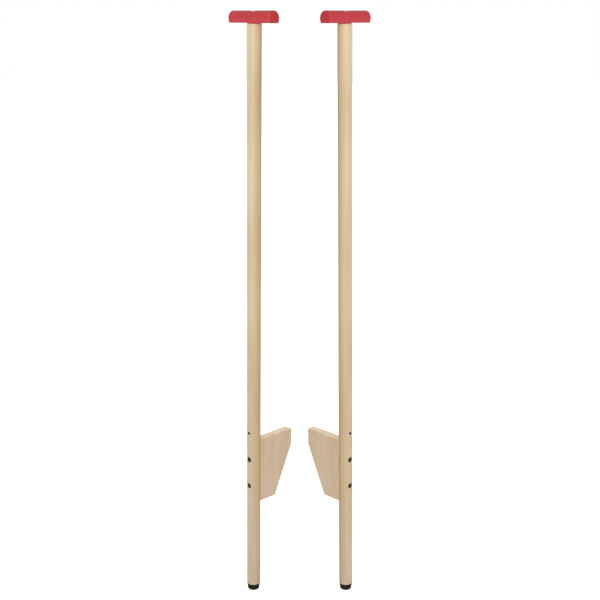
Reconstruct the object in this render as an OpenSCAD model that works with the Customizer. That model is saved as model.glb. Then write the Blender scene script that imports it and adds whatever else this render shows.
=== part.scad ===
// A pair of wooden pole stilts for a child. Each stilt is a round pole with a moulded
// T-grip on top, a wedge-shaped wooden footrest bolted to its side and a rubber foot.
// Millimetres. +Z is up, the floor is z = 0, and the origin lies midway between the
// poles. A stilt is drawn upright in its own frame: z runs up the pole's axis from the
// floor, +x points along the footrest and the bolt heads are on the -x side. It is then
// turned, leaned and set at its place, and the right stilt is the left one mirrored.

/* [Stance] */
// Distance between the two pole axes at the floor
stance = 199.5; // [170:0.5:400]
// Angle by which each stilt leans inwards at the top
lean = 0.77; // [0:0.01:3]
// Turn of the footrests, from facing each other towards facing away
turn = 45; // [30:1:60]

/* [Pole] */
// Diameter of the pole
pole_d = 28; // [24:1:36]
// Length of the pole from its foot end to the shoulder under the grip
pole_len = 1163; // [800:1:1500]
// Rounding of the pole's two end edges
pole_edge = 1.2; // [0.4:0.1:2]
// Diameter of the turned tenon that goes up into the grip
tenon_d = 18; // [14:0.5:20]
// Length of the tenon
tenon_len = 14; // [8:0.5:15]

/* [Bolt holes] */
// Number of holes up the pole, the footrest takes two of them
hole_count = 3; // [2:1:6]
// Height of the lowest hole above the floor
low_hole_z = 245; // [160:1:400]
// Distance from one hole to the next
hole_pitch = 59; // [40:1:80]
// Diameter of the through holes
hole_d = 7; // [6.4:0.1:7.5]
// Diameter of the wider mouth that sinks the head, at the two holes that hold a bolt
head_hole_d = 11.4; // [11.4:0.1:14]
// Depth of that mouth below the pole's outermost line
head_hole_depth = 9; // [8:0.5:12]

/* [Footrest] */
// Distance from the pole's axis to the footrest's far edge
step_reach = 101.5; // [85:0.5:130]
// Thickness of the footrest
step_t = 18; // [16:0.5:24]
// Height of the footrest along the pole
step_h = 140; // [110:1:180]
// Height of its upright far edge
step_nose_h = 36; // [16:1:60]
// Distance from the pole's axis to the end of its lower edge
step_toe = 54.5; // [44:0.5:70]
// Rounding of the corners of its outline
step_corner = 3; // [1:0.5:8]
// Rounding of its long edges
step_edge = 2; // [0.5:0.1:3]
// Gap between the hollow in its back and the pole
groove_gap = 0.3; // [0.2:0.05:0.8]
// Width of the flat strip left on each side of that hollow
groove_lip = 0.8; // [0.4:0.1:1.5]

/* [Bolts] */
// Thread diameter of the footrest bolts
bolt_d = 6; // [5:0.5:6]
// Length of the bolt under its head
bolt_len = 35; // [32:1:40]
// Diameter of the round bolt head
bolt_head_d = 10; // [8.5:0.5:10.5]
// Height of the bolt head
bolt_head_h = 6; // [4:0.5:6]
// Width across the flats of the socket in the head
bolt_key_w = 5; // [4:0.5:6]
// Depth of that socket
bolt_key_depth = 3; // [2:0.5:4]
// Outer diameter of the washer under the head
washer_d = 11; // [9:0.5:11]
// Hole of the washer
washer_hole_d = 6.4; // [6.2:0.1:7]
// Thickness of the washer
washer_t = 1.6; // [1:0.1:2]
// Outer diameter of the threaded insert in the footrest
insert_d = 9; // [7.5:0.5:10]
// Length of the insert
insert_len = 13; // [8:1:16]
// Depth of the insert's rim below the hollow's floor
insert_sink = 0.7; // [0.2:0.1:2]
// Running gap between the bolt and the insert
thread_gap = 0.05; // [0.02:0.01:0.1]

/* [Grip] */
// Length of the grip bar
grip_len = 112; // [90:1:130]
// Greatest width of the bar
grip_w = 28; // [26:0.5:34]
// Height of the bar
grip_h = 22.7; // [20:0.1:28]
// Height of the bar's widest line above its underside
grip_belly_z = 8.5; // [6:0.5:12]
// Width of the level strip along the crest
grip_crest_w = 3; // [1:0.5:8]
// Width of the bar at its underside, before the corners are rounded
grip_base_w = 25.5; // [22:0.5:26]
// Rounding of the two lower edges
grip_low_edge = 3; // [1:0.5:4]
// Rounding of the edges round the two ends
grip_end_edge = 2.5; // [0.5:0.1:3]
// Distance of the bar's middle from the pole's axis, towards its outer end
grip_shift = 2.5; // [0:0.5:6]
// Length of the shallow saddle across the middle of the crest
saddle_len = 20; // [10:1:40]
// Depth of the saddle
saddle_depth = 0.9; // [0.5:0.1:3]
// Diameter of the collar between bar and pole
collar_d = 26; // [22:0.5:30]
// Height of the collar
collar_h = 1; // [0.5:0.5:4]
// Gap between the tenon and its socket, beside and above it
socket_gap = 0.15; // [0.05:0.05:0.4]
// Diameter of the recess that sinks the screw head
recess_d = 11; // [9.5:0.5:14]
// Depth of the recess's floor below the crest
recess_depth = 4; // [3.2:0.2:5]

/* [Rubber foot] */
// Height of the rubber foot
foot_h = 13.5; // [10:0.5:30]
// Greatest diameter of the foot
foot_d = 27; // [26:0.5:36]
// Diameter of its underside
tread_d = 24; // [18:0.5:25]
// Rounding of the edge round the underside
tread_edge = 1.5; // [0.5:0.1:3]
// Rounding of the upper rim
foot_rim = 2.5; // [0.5:0.1:4]
// Depth of rubber left below the floor line before the tread is cut level
tread_spare = 0.5; // [0.3:0.1:1]
// Diameter of the screw recess in the tread
tread_recess_d = 11; // [9:0.5:13]
// Height of the recess's end above the floor
tread_recess_h = 5; // [4:0.5:8]
// Outer diameter of the steel washer moulded into the foot
foot_washer_d = 15; // [12:0.5:18]
// Thickness of that washer
foot_washer_t = 1.2; // [0.8:0.1:2]

/* [Wood screws] */
// Diameter of the grip's and the foot's wood screws
screw_d = 4.5; // [3.5:0.5:5]
// Diameter of their round heads
screw_head_d = 8.5; // [7:0.5:8.5]
// Height of their heads
screw_head_h = 2.4; // [1.5:0.1:2.6]
// Length of the grip's screw under its head
grip_screw_len = 40; // [25:1:60]
// Length of the foot's screw under its head
foot_screw_len = 28; // [20:1:40]
// Length of a screw's point
screw_point = 5; // [2:0.5:8]
// Gap round a screw in its hole
screw_gap = 0.05; // [0.02:0.01:0.3]
// Width across the arms of the cross slot in a screw head
cross_w = 4; // [3:0.5:5]
// Thickness of the slot's arms
cross_t = 1; // [0.6:0.1:1.4]
// Depth of the slot
cross_depth = 1.4; // [0.8:0.1:2]

/* [Hidden] */
$fn = 96;
left = -1;
right = 1;

// How far a cutting tool runs past the face it cuts
overrun = 2;
// Steps in degrees round a rounded edge
edge_steps = [0, 22.5, 45, 67.5, 90];
// Room behind the end of a bolt or screw in its blind hole
hole_room = 3;
// Facets of the footrest's and the grip's rounded outlines
outline_fn = 32;
// Facets of the small fixings
fixing_fn = 48;
// Length of the rounding on a bolt head's outer edge
bolt_head_edge = 0.6;

pole_r = pole_d / 2;
// Heights up the pole's axis
shoulder_z = foot_h + pole_len;
bar_z = shoulder_z + collar_h;
crest_z = bar_z + grip_h;
recess_z = crest_z - recess_depth;
// Places along the bolts, which run along x
groove_r = pole_r + groove_gap;
seat_x = head_hole_depth - pole_r;
bolt_tip_x = seat_x - washer_t + bolt_len;
insert_x = groove_r + insert_sink;
// The footrest, with its bolts at equal distances from its top and bottom
step_z = low_hole_z + hole_pitch / 2 - step_h / 2;
step_back_x = sqrt(pow(groove_r, 2) - pow(step_t / 2 - groove_lip, 2));
saddle_r = (pow(saddle_len / 2, 2) + pow(saddle_depth, 2)) / (2 * saddle_depth);
// How far the grips come forward of the poles and the footrests go back
near_y = (grip_len / 2 - grip_shift - grip_end_edge) * cos(turn)
    + (grip_w / 2 - grip_end_edge) * sin(turn) + grip_end_edge;
far_y = (step_reach - step_edge) * sin(turn) + (step_t / 2 - step_edge) * cos(turn) + step_edge;
pole_y = (near_y - far_y) / 2;

wood = [0.80, 0.69, 0.52];
red = [0.78, 0.17, 0.20];
black = [0.10, 0.09, 0.09];
steel = [0.66, 0.67, 0.68];
brass = [0.74, 0.60, 0.30];

// Sets what is drawn in a stilt's own frame at its place in the pair
module place(side) {
    if (side == left)
        stand() children();
    else
        mirror([1, 0, 0]) stand() children();
}

module stand() {
    translate([-stance / 2, pole_y, 0])
        rotate([0, lean, 0])
            rotate([0, 0, turn])
                children();
}

// A round bar along +x from x = from to x = to
module rod_x(from, to, d) {
    translate([from, 0, 0])
        rotate([0, 90, 0])
            cylinder(d = d, h = to - from, $fn = fixing_fn);
}

// A turned bar along z with both end edges rounded
module turned_bar(r, len, edge) {
    rotate_extrude()
        polygon(concat(
            [[0, 0]],
            [for (a = edge_steps) [r - edge + edge * sin(a), edge - edge * cos(a)]],
            [for (a = edge_steps) [r - edge + edge * cos(a), len - edge + edge * sin(a)]],
            [[0, len]]
        ));
}

// A plate of even thickness, with its outline in 2D and its long edges rounded
module rounded_plate(t, edge) {
    hull()
        for (a = edge_steps)
            linear_extrude(t - 2 * edge + 2 * edge * sin(a), center = true)
                offset(delta = edge * cos(a) - edge)
                    children();
}

// Height above the floor of bolt hole number i
function hole_z(i) = low_hole_z + i * hole_pitch;

module pole(side) {
    color(wood) place(side) difference() {
        union() {
            translate([0, 0, foot_h]) turned_bar(pole_r, pole_len, pole_edge);
            translate([0, 0, shoulder_z - tenon_len])
                cylinder(d = tenon_d, h = 2 * tenon_len);
        }
        for (i = [0 : hole_count - 1])
            translate([0, 0, hole_z(i)])
                rod_x(-pole_r - overrun, pole_r + overrun, hole_d);
        for (i = [0, 1])
            translate([0, 0, hole_z(i)])
                rod_x(-pole_r - overrun, seat_x, head_hole_d);
        screw_hole(recess_z, -grip_screw_len - hole_room);
        screw_hole(tread_recess_h, foot_screw_len + hole_room);
    }
}

// A blind hole for a wood screw whose head sits at height z
module screw_hole(z, len) {
    translate([0, 0, min(z, z + len)])
        cylinder(d = screw_d + 2 * screw_gap, h = abs(len), $fn = fixing_fn);
}

// Outline of the footrest seen from its flat side, x outwards and y up
module footrest_outline() {
    offset(r = step_corner, $fn = outline_fn)
        offset(delta = -step_corner)
            polygon([
                [step_back_x, 0],
                [step_toe, 0],
                [step_reach, step_h - step_nose_h],
                [step_reach, step_h],
                [step_back_x, step_h]
            ]);
}

module footrest(side) {
    color(wood) place(side) difference() {
        translate([0, 0, step_z])
            rotate([90, 0, 0])
                rounded_plate(step_t, step_edge) footrest_outline();
        translate([0, 0, step_z - overrun])
            cylinder(r = groove_r, h = step_h + 2 * overrun);
        for (i = [0, 1])
            translate([0, 0, hole_z(i)]) {
                rod_x(0, insert_x + insert_len, insert_d);
                rod_x(0, bolt_tip_x + hole_room, hole_d);
            }
    }
}

module inserts(side) {
    color(brass) place(side)
        for (i = [0, 1])
            translate([0, 0, hole_z(i)])
                difference() {
                    rod_x(insert_x, insert_x + insert_len, insert_d);
                    rod_x(insert_x - overrun, insert_x + insert_len + overrun,
                        bolt_d + 2 * thread_gap);
                }
}

// The bolt in hole number i, with its head towards -x
module bolt(side, i) {
    color(black) place(side)
        translate([seat_x - washer_t, 0, hole_z(i)])
            rotate([0, -90, 0])
                difference() {
                    union() {
                        turned_head(bolt_head_d / 2, bolt_head_h, bolt_head_edge);
                        translate([0, 0, -bolt_len])
                            cylinder(d = bolt_d, h = bolt_len + bolt_head_h / 2, $fn = fixing_fn);
                    }
                    translate([0, 0, bolt_head_h - bolt_key_depth])
                        cylinder(d = bolt_key_w / cos(30), h = bolt_key_depth + overrun, $fn = 6);
                }
}

// A round head standing on z = 0 with its outer edge rounded
module turned_head(r, h, edge) {
    rotate_extrude($fn = fixing_fn)
        polygon(concat(
            [[0, 0], [r, 0]],
            [for (a = edge_steps) [r - edge + edge * cos(a), h - edge + edge * sin(a)]],
            [[0, h]]
        ));
}

module washer(side, i) {
    color(black) place(side)
        translate([0, 0, hole_z(i)])
            difference() {
                rod_x(seat_x - washer_t, seat_x, washer_d);
                rod_x(seat_x - washer_t - overrun, seat_x + overrun, washer_hole_d);
            }
}

// Cross-section of the grip bar, x across and y up from the bar's underside
module grip_section() {
    half = grip_w / 2;
    crest = grip_crest_w / 2;
    rise = grip_h - grip_belly_z;
    base = grip_base_w / 2;
    right_side = concat(
        [for (a = edge_steps) [
            base - grip_low_edge + grip_low_edge * sin(a),
            grip_low_edge - grip_low_edge * cos(a)
        ]],
        [for (a = [0 : 11.25 : 90]) [
            crest + (half - crest) * cos(a),
            grip_belly_z + rise * sin(a)
        ]]
    );
    polygon(concat(right_side, [for (i = [len(right_side) - 1 : -1 : 0])
        [-right_side[i][0], right_side[i][1]]]));
}

module grip(side) {
    color(red) place(side) difference() {
        union() {
            translate([0, grip_shift, bar_z])
                rotate([90, 0, 0])
                    rounded_plate(grip_len, grip_end_edge) grip_section();
            translate([0, 0, shoulder_z])
                cylinder(d = collar_d, h = collar_h + grip_low_edge);
        }
        translate([0, grip_shift, crest_z - saddle_depth + saddle_r])
            rotate([0, 90, 0])
                cylinder(r = saddle_r, h = grip_w + 2 * overrun, center = true, $fn = 2 * $fn);
        translate([0, 0, shoulder_z - overrun])
            cylinder(r = tenon_d / 2 + socket_gap, h = tenon_len + socket_gap + overrun);
        translate([0, 0, recess_z])
            cylinder(d = recess_d, h = recess_depth + overrun, $fn = fixing_fn);
        screw_hole(recess_z, -grip_screw_len);
    }
}

// A round-headed wood screw, its head standing on z = 0 and its thread running down
module wood_screw(len) {
    difference() {
        union() {
            turned_head(screw_head_d / 2, screw_head_h, screw_head_h / 2);
            translate([0, 0, screw_point - len])
                cylinder(d = screw_d, h = len - screw_point + screw_head_h / 2, $fn = fixing_fn);
            translate([0, 0, -len])
                cylinder(d1 = 0, d2 = screw_d, h = screw_point, $fn = fixing_fn);
        }
        for (a = [0, 90])
            rotate([0, 0, a])
                translate([-cross_w / 2, -cross_t / 2, screw_head_h - cross_depth])
                    cube([cross_w, cross_t, cross_depth + overrun]);
    }
}

module grip_screw(side) {
    color(steel) place(side)
        translate([0, 0, recess_z])
            wood_screw(grip_screw_len);
}

module rubber_foot(side) {
    taper_r = tread_d / 2;
    color(black) difference() {
        place(side) difference() {
            rotate_extrude()
                polygon(concat(
                    [[0, -tread_spare], [taper_r - tread_edge, -tread_spare]],
                    [for (a = edge_steps) [
                        taper_r - tread_edge + tread_edge * sin(a),
                        tread_edge - tread_edge * cos(a)
                    ]],
                    [for (a = edge_steps) [
                        foot_d / 2 - foot_rim / 2 + foot_rim / 2 * cos(a),
                        foot_h - foot_rim + foot_rim * sin(a)
                    ]],
                    [[0, foot_h]]
                ));
            translate([0, 0, -overrun])
                cylinder(d = tread_recess_d, h = tread_recess_h + overrun, $fn = fixing_fn);
            translate([0, 0, tread_recess_h])
                cylinder(d = foot_washer_d, h = foot_washer_t, $fn = fixing_fn);
            screw_hole(tread_recess_h, foot_h);
        }
        translate([-stance, pole_y - foot_d, -overrun])
            cube([2 * stance, 2 * foot_d, overrun]);
    }
}

module foot_washer(side) {
    color(steel) place(side)
        translate([0, 0, tread_recess_h])
            difference() {
                cylinder(d = foot_washer_d, h = foot_washer_t, $fn = fixing_fn);
                screw_hole(-overrun, foot_washer_t + 2 * overrun);
            }
}

module foot_screw(side) {
    color(steel) place(side)
        translate([0, 0, tread_recess_h])
            rotate([180, 0, 0])
                wood_screw(foot_screw_len);
}

pole(left);  // left_pole
grip(left);  // left_grip
grip_screw(left);  // left_grip_screw
footrest(left);  // left_footrest
inserts(left);  // left_inserts
bolt(left, 1);  // left_upper_bolt
washer(left, 1);  // left_upper_washer
bolt(left, 0);  // left_lower_bolt
washer(left, 0);  // left_lower_washer
rubber_foot(left);  // left_rubber_foot
foot_washer(left);  // left_foot_washer
foot_screw(left);  // left_foot_screw
pole(right);  // right_pole
grip(right);  // right_grip
grip_screw(right);  // right_grip_screw
footrest(right);  // right_footrest
inserts(right);  // right_inserts
bolt(right, 1);  // right_upper_bolt
washer(right, 1);  // right_upper_washer
bolt(right, 0);  // right_lower_bolt
washer(right, 0);  // right_lower_washer
rubber_foot(right);  // right_rubber_foot
foot_washer(right);  // right_foot_washer
foot_screw(right);  // right_foot_screw
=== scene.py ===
import math

import bmesh
import bpy
from mathutils import Matrix, Vector


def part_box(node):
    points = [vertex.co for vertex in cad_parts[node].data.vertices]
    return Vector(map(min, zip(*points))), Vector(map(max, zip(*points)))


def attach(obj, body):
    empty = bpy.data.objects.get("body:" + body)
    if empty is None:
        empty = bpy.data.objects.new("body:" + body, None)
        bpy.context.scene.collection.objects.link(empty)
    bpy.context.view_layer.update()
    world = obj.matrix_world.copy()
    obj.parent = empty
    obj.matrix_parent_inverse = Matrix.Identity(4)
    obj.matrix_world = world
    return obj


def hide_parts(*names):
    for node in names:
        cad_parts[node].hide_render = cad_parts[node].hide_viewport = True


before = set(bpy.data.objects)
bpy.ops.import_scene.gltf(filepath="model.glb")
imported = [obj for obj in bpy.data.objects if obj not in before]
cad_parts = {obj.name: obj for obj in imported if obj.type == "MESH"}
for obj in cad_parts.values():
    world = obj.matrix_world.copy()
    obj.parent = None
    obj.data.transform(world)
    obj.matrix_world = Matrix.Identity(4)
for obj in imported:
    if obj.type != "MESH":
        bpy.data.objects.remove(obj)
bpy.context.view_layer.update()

MM = 0.001

# Where the two stilts stand. A stilt is built upright in its own frame: z runs up the pole's
# axis from the floor, +x points along the footrest and the bolt heads are on the -x side.
SIDES = (("left", -1), ("right", 1))
STANCE = 199.5 * MM
LEAN = math.radians(0.77)
TURN = math.radians(45)

# The pole
POLE_R = 14 * MM
POLE_EDGE = 1.2 * MM
POLE_STEPS = 96
SHOULDER_Z = 1176.5 * MM
TENON_R = 9 * MM
TENON_LEN = 14 * MM

# The bolt holes
HOLE_HEIGHTS = (245 * MM, 304 * MM, 363 * MM)
BOLT_HEIGHTS = {"lower": HOLE_HEIGHTS[0], "upper": HOLE_HEIGHTS[1]}
HOLE_R = 3.5 * MM
HEAD_HOLE_R = 5.7 * MM
HOLE_PATCH = 10 * MM
HOLE_PATCH_ROWS = 10
HOLE_PATCH_ANGLE = math.radians(37.5)
SEAT_X = -5 * MM
HOLE_RIM = 0.35 * MM

# The footrest
STEP_REACH = 101.5 * MM
STEP_T = 18 * MM
STEP_H = 140 * MM
STEP_NOSE_H = 36 * MM
STEP_TOE = 54.5 * MM
STEP_CORNER = 3 * MM
STEP_CORNER_STEPS = 6
STEP_EDGE = 2 * MM
STEP_EDGE_STEPS = 5
STEP_Z = 204.5 * MM
STEP_BACK_X = 11.7 * MM
GROOVE_R = 14.3 * MM
BOLT_BORE_END = 31.4 * MM

# The bolts, their washers and the threaded inserts
BOLT_R = 3 * MM
BOLT_LEN = 35 * MM
THREAD_PITCH = 1 * MM
THREAD_DEPTH = 0.55 * MM
THREAD_START = 0.2 * MM
BOLT_TIP = 0.8 * MM
BOLT_TIP_STEP = 0.2 * MM
HEAD_R = 5 * MM
HEAD_H = 6 * MM
HEAD_EDGE = 0.6 * MM
HEAD_LOW_EDGE = 0.3 * MM
KNURL_DEPTH = 0.12 * MM
KEY_W = 5 * MM
KEY_DEPTH = 3 * MM
KEY_CONE = 0.8 * MM
KEY_LIP = 0.7 * MM
WASHER_R = 5.5 * MM
WASHER_HOLE_R = 3.2 * MM
WASHER_T = 1.6 * MM
WASHER_EDGE = 1 / 6
WASHER_EDGE_STEPS = 2
INSERT_R = 4.5 * MM
INSERT_BORE_R = 3.05 * MM
INSERT_X = 15 * MM
INSERT_LEN = 13 * MM
INSERT_THREAD = 0.35 * MM
INSERT_EDGE = 0.3 * MM
INSERT_SLOT_W = 1.2 * MM
INSERT_SLOT_DEPTH = 1.4 * MM

# The grip
GRIP_LEN = 111.98 * MM
GRIP_W = 28 * MM
GRIP_H = 22.7 * MM
GRIP_BELLY_Z = 8.5 * MM
GRIP_CREST_W = 3 * MM
GRIP_BASE_W = 25.5 * MM
GRIP_LOW_EDGE = 3 * MM
GRIP_LOW_STEPS = 6
GRIP_END_EDGE = 2.5 * MM
GRIP_END_STEPS = 4
GRIP_SHIFT = 2.5 * MM
GRIP_FLAT_STEPS = 8
GRIP_CROWN_STEPS = 18
GRIP_FINE_ROWS = 14
GRIP_COARSE_ROW = 20 * MM
GRIP_LAST_ROW = 3 * MM
SADDLE_LEN = 20 * MM
SADDLE_DEPTH = 0.9 * MM
COLLAR_R = 13 * MM
COLLAR_H = 1 * MM
COLLAR_TAPER = 0.4 * MM
COLLAR_EDGE = 0.4 * MM
COLLAR_SLACK = 0.1 * MM
BAR_Z = SHOULDER_Z + COLLAR_H
SOCKET_R = 9.15 * MM
SOCKET_TOP = 1190.65 * MM
SOCKET_PATCH = 12 * MM
RECESS_R = 5.5 * MM
RECESS_PATCH = 8.5 * MM
RECESS_DEPTH = 4 * MM
RECESS_Z = BAR_Z + GRIP_H - RECESS_DEPTH
RECESS_RIM = 0.5 * MM

# The rubber foot and the washer moulded into it
FOOT_H = 13.5 * MM
FOOT_R = 13.5 * MM
FOOT_RIM = 1.25 * MM
FOOT_STEPS = 5
TREAD_R = 12 * MM
TREAD_EDGE = 1.5 * MM
TREAD_SPARE = 0.5 * MM
TREAD_RECESS_R = 5.5 * MM
TREAD_RECESS_H = 5 * MM
FOOT_WASHER_R = 7.5 * MM
FOOT_WASHER_T = 1.2 * MM

# The wood screws of the grip and the foot
SCREW_R = 2.2 * MM
SCREW_HOLE_R = 2.3 * MM
SCREW_PITCH = 2 * MM
SCREW_THREAD = 0.5 * MM
SCREW_HEAD_R = 4.25 * MM
SCREW_HEAD_H = 2.4 * MM
SCREW_HEAD_STEPS = 6
SCREW_POINT = 5 * MM
GRIP_SCREW_LEN = 40 * MM
FOOT_SCREW_LEN = 28 * MM
SCREW_ROOM = 3 * MM
CROSS_W = 4 * MM
CROSS_T = 1 * MM
CROSS_DEPTH = 1.4 * MM

# The camera that took the photograph, fitted to the poles' edges
CAMERA_X = 0.8 * MM
CAMERA_BEFORE_POLES = 1915 * MM
CAMERA_HEIGHT = 1171 * MM
CAMERA_DOWN = math.radians(15.35)
LENS_MM = 59.72
SENSOR_MM = 36

# Light: the surround, the floor's glow as a lamp and as the camera sees it, and each stilt's own
# soft lamps. ROD lamps light the pole with its bolts and foot, STRIP the grip, BACK all but the
# footrest, and the last four the footrest alone. A size is width and height, and a place is the
# height and the distance from the pole. An azimuth goes from the front to the stilt's outer side.
SURROUND = 0.41
FLOOR_HALF = 20
FLOOR_GREY = (0.9, 0.9, 0.9, 1)
FLOOR_ROUGH = 0.9
FLOOR_LIGHT = 0.24
FLOOR_SEEN = 0.9
WHITE = (1, 1, 1, 1)
LAMP_AIM_Z = 600 * MM
LAMP_PLACE = (1300 * MM, 1900 * MM)
ROD_SIZE = (1400 * MM, 1400 * MM)
ROD_FRONT_POWER = 18.4
ROD_FRONT_AZIMUTH = math.radians(12)
ROD_SIDE_POWER = 6
ROD_SIDE_AZIMUTH = math.radians(120)
STRIP_SIZE = (500 * MM, 2600 * MM)
STRIP_PLACE = (1500 * MM, 1900 * MM)
STRIP_POWER = 20
STRIP_AZIMUTH = math.radians(10)
BACK_SIZE = (900 * MM, 900 * MM)
BACK_PLACE = (500 * MM, 1900 * MM)
BACK_POWER = 13
KEY_SIZE = (900 * MM, 900 * MM)
KEY_POWER = 16.3
SIDE_SIZE = (2200 * MM, 2200 * MM)
SIDE_POWER = 9.6
SIDE_AZIMUTH = math.radians(95)
ABOVE_SIZE = (500 * MM, 500 * MM)
ABOVE_PLACE = (1600 * MM, 300 * MM)
ABOVE_POWER = 4
BEHIND_SIZE = (1000 * MM, 1000 * MM)
BEHIND_PLACE = (1013 * MM, 1500 * MM)
BEHIND_POWER = 4

# Fineness of round shapes, the distance below which two vertices are one, how far a cutter
# stands out of what it cuts, and the turn of a face that counts as facing an axis or as an edge
FINE = 72
THREAD_FINE = 24
EDGE_STEPS = 4
RIM_STEPS = 3
WELD = 0.01 * MM
OVERRUN = 2 * MM
FACING = 0.9
SHARP = math.radians(35)


def stilt_place(side):
    """The matrix that carries a stilt from its own frame to its place in the pair."""
    low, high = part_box("left_pole")
    place = (
        Matrix.Translation((-STANCE / 2, (low.y + high.y) / 2, 0))
        @ Matrix.Rotation(LEAN, 4, "Y")
        @ Matrix.Rotation(TURN, 4, "Z")
    )
    if side == "left":
        return place
    return Matrix.Scale(-1, 4, (1, 0, 0)) @ place @ Matrix.Scale(-1, 4, (0, 1, 0))


# Mesh tools


def scaled(co, centre, factor):
    """A point moved towards or away from a centre."""
    return centre + (co - centre) * factor


def on_circle(co, radius, height):
    """A point moved straight out or in from z onto a circle, at a height."""
    return Vector((*co.xy.normalized() * radius, height))


def arc(centre, radius, start, end, steps=EDGE_STEPS):
    """Points of a quarter round or so, from one angle in degrees to another."""
    angles = [math.radians(start + (end - start) * i / steps) for i in range(steps + 1)]
    return [(centre[0] + radius * math.cos(a), centre[1] + radius * math.sin(a)) for a in angles]


def weld(bm):
    """Joins doubled vertices and turns all faces outwards."""
    bmesh.ops.remove_doubles(bm, verts=bm.verts, dist=WELD)
    bmesh.ops.recalc_face_normals(bm, faces=bm.faces)


def lathe(profile, steps=FINE, closed=False):
    """Turns a profile of (radius, height) points about z."""
    bm = bmesh.new()
    points = [bm.verts.new((radius, 0, height)) for radius, height in profile]
    pairs = list(zip(points, points[1:]))
    if closed:
        pairs.append((points[-1], points[0]))
    edges = [bm.edges.new(pair) for pair in pairs]
    bmesh.ops.spin(
        bm,
        geom=points + edges,
        cent=(0, 0, 0),
        axis=(0, 0, 1),
        angle=math.tau,
        steps=steps,
        use_merge=True,
    )
    weld(bm)
    return bm


def new_verts(made):
    """The vertices among what an operator made."""
    return [g for g in made if isinstance(g, bmesh.types.BMVert)]


def unique(items):
    """The items without repeats, in their order."""
    return list(dict.fromkeys(items))


def draw(bm, loop, move):
    """Extrudes a loop of edges, moves each new vertex, and returns the new loop."""
    made = bmesh.ops.extrude_edge_only(bm, edges=loop)["geom"]
    verts = set(new_verts(made))
    for vert in verts:
        vert.co = move(vert.co)
    return [
        g for g in made if isinstance(g, bmesh.types.BMEdge) and set(g.verts) <= verts
    ]


def open_edges(bm, test=lambda co: True):
    """The edges with a face on one side only whose two ends pass a test."""
    return [e for e in bm.edges if e.is_boundary and all(test(v.co) for v in e.verts)]


def open_hole(bm, window, flat, lift, radius, loops=RIM_STEPS):
    """Opens a round hole in a patch of faces and returns its rim. flat gives a point's two
    distances from the hole's middle, and lift the point of the surface at such distances."""
    inside = set(window)
    ring = bmesh.ops.inset_region(
        bm, faces=window, thickness=WELD, use_boundary=True, use_even_offset=True
    )["faces"]
    rim = unique(v for f in ring for v in f.verts if any(g in inside for g in v.link_faces))
    around = set(rim)
    bmesh.ops.delete(bm, geom=window, context="FACES")
    for vert in rim:
        u, v = flat(vert.co)
        shrink = radius / math.hypot(u, v)
        vert.co = lift(u * shrink, v * shrink)
    spokes = unique(e for v in rim for e in v.link_edges if len(around & set(e.verts)) == 1)
    made = bmesh.ops.subdivide_edges(bm, edges=spokes, cuts=loops, use_grid_fill=True)
    for vert in new_verts(made["geom_inner"]):
        vert.co = lift(*flat(vert.co))
    return open_edges(bm, lambda co: abs(math.hypot(*flat(co)) - radius) < WELD)


def round_edges(bm, edges, width, steps=RIM_STEPS):
    """Rounds edges to a width."""
    bmesh.ops.bevel(
        bm,
        geom=edges,
        offset=width,
        offset_type="OFFSET",
        segments=steps,
        profile=0.5,
        affect="EDGES",
        clamp_overlap=True,
        material=-1,
    )


def combine(bm, tools, operation="DIFFERENCE"):
    """Cuts closed shapes from a closed shape, or joins them to it."""
    objects = []
    for shape in [bm, *tools]:
        mesh = bpy.data.meshes.new("shape")
        shape.to_mesh(mesh)
        shape.free()
        objects.append(bpy.data.objects.new("shape", mesh))
        bpy.context.scene.collection.objects.link(objects[-1])
    for tool in objects[1:]:
        cut = objects[0].modifiers.new("cut", "BOOLEAN")
        cut.operation = operation
        cut.solver = "EXACT"
        cut.object = tool
    graph = bpy.context.evaluated_depsgraph_get()
    result = bmesh.new()
    result.from_object(objects[0], graph)
    for thing in objects:
        bpy.data.objects.remove(thing)
    return result


def rod(radius, low, high, steps=FINE):
    """A plain round bar along z."""
    return lathe([(0, low), (radius, low), (radius, high), (0, high)], steps)


def block(width, depth, height):
    """A box about the origin."""
    bm = bmesh.new()
    bmesh.ops.create_cube(bm, size=1)
    bmesh.ops.scale(bm, verts=bm.verts, vec=Vector((width, depth, height)))
    return bm


def cut_level(bm, height, normal):
    """Takes off what lies beyond a level plane, above it for a normal of 1 and below for -1."""
    bmesh.ops.bisect_plane(
        bm,
        geom=bm.verts[:] + bm.edges[:] + bm.faces[:],
        plane_co=(0, 0, height),
        plane_no=(0, 0, normal),
        clear_outer=True,
    )


def thread(crest_r, root_r, pitch, low, high, steps=THREAD_FINE):
    """The surface of a screw thread about z, open at both ends."""
    bm = bmesh.new()
    start = low - pitch
    # the root, the rise, the crest and the fall, at shares of the pitch
    tooth = ((root_r, 0), (root_r, 0.15), (crest_r, 0.5), (crest_r, 0.65), (root_r, 1))
    points = [bm.verts.new((radius, 0, start + share * pitch)) for radius, share in tooth]
    edges = [bm.edges.new(pair) for pair in zip(points, points[1:])]
    turns = math.ceil((high - start) / pitch) + 1
    bmesh.ops.spin(
        bm,
        geom=points + edges,
        cent=(0, 0, 0),
        axis=(0, 0, 1),
        dvec=(0, 0, pitch / steps),
        angle=math.tau * turns,
        steps=steps * turns,
        use_merge=False,
    )
    weld(bm)
    cut_level(bm, low, -1)
    cut_level(bm, high, 1)
    return bm


def join(bm, other):
    """Adds a second shape to the first."""
    mesh = bpy.data.meshes.new("part")
    other.to_mesh(mesh)
    other.free()
    bm.from_mesh(mesh)
    bpy.data.meshes.remove(mesh)


def at_height(bm, height):
    """The open edges at a height."""
    return open_edges(bm, lambda co: abs(co.z - height) < WELD)


# The pieces of a stilt, in its own frame


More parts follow.
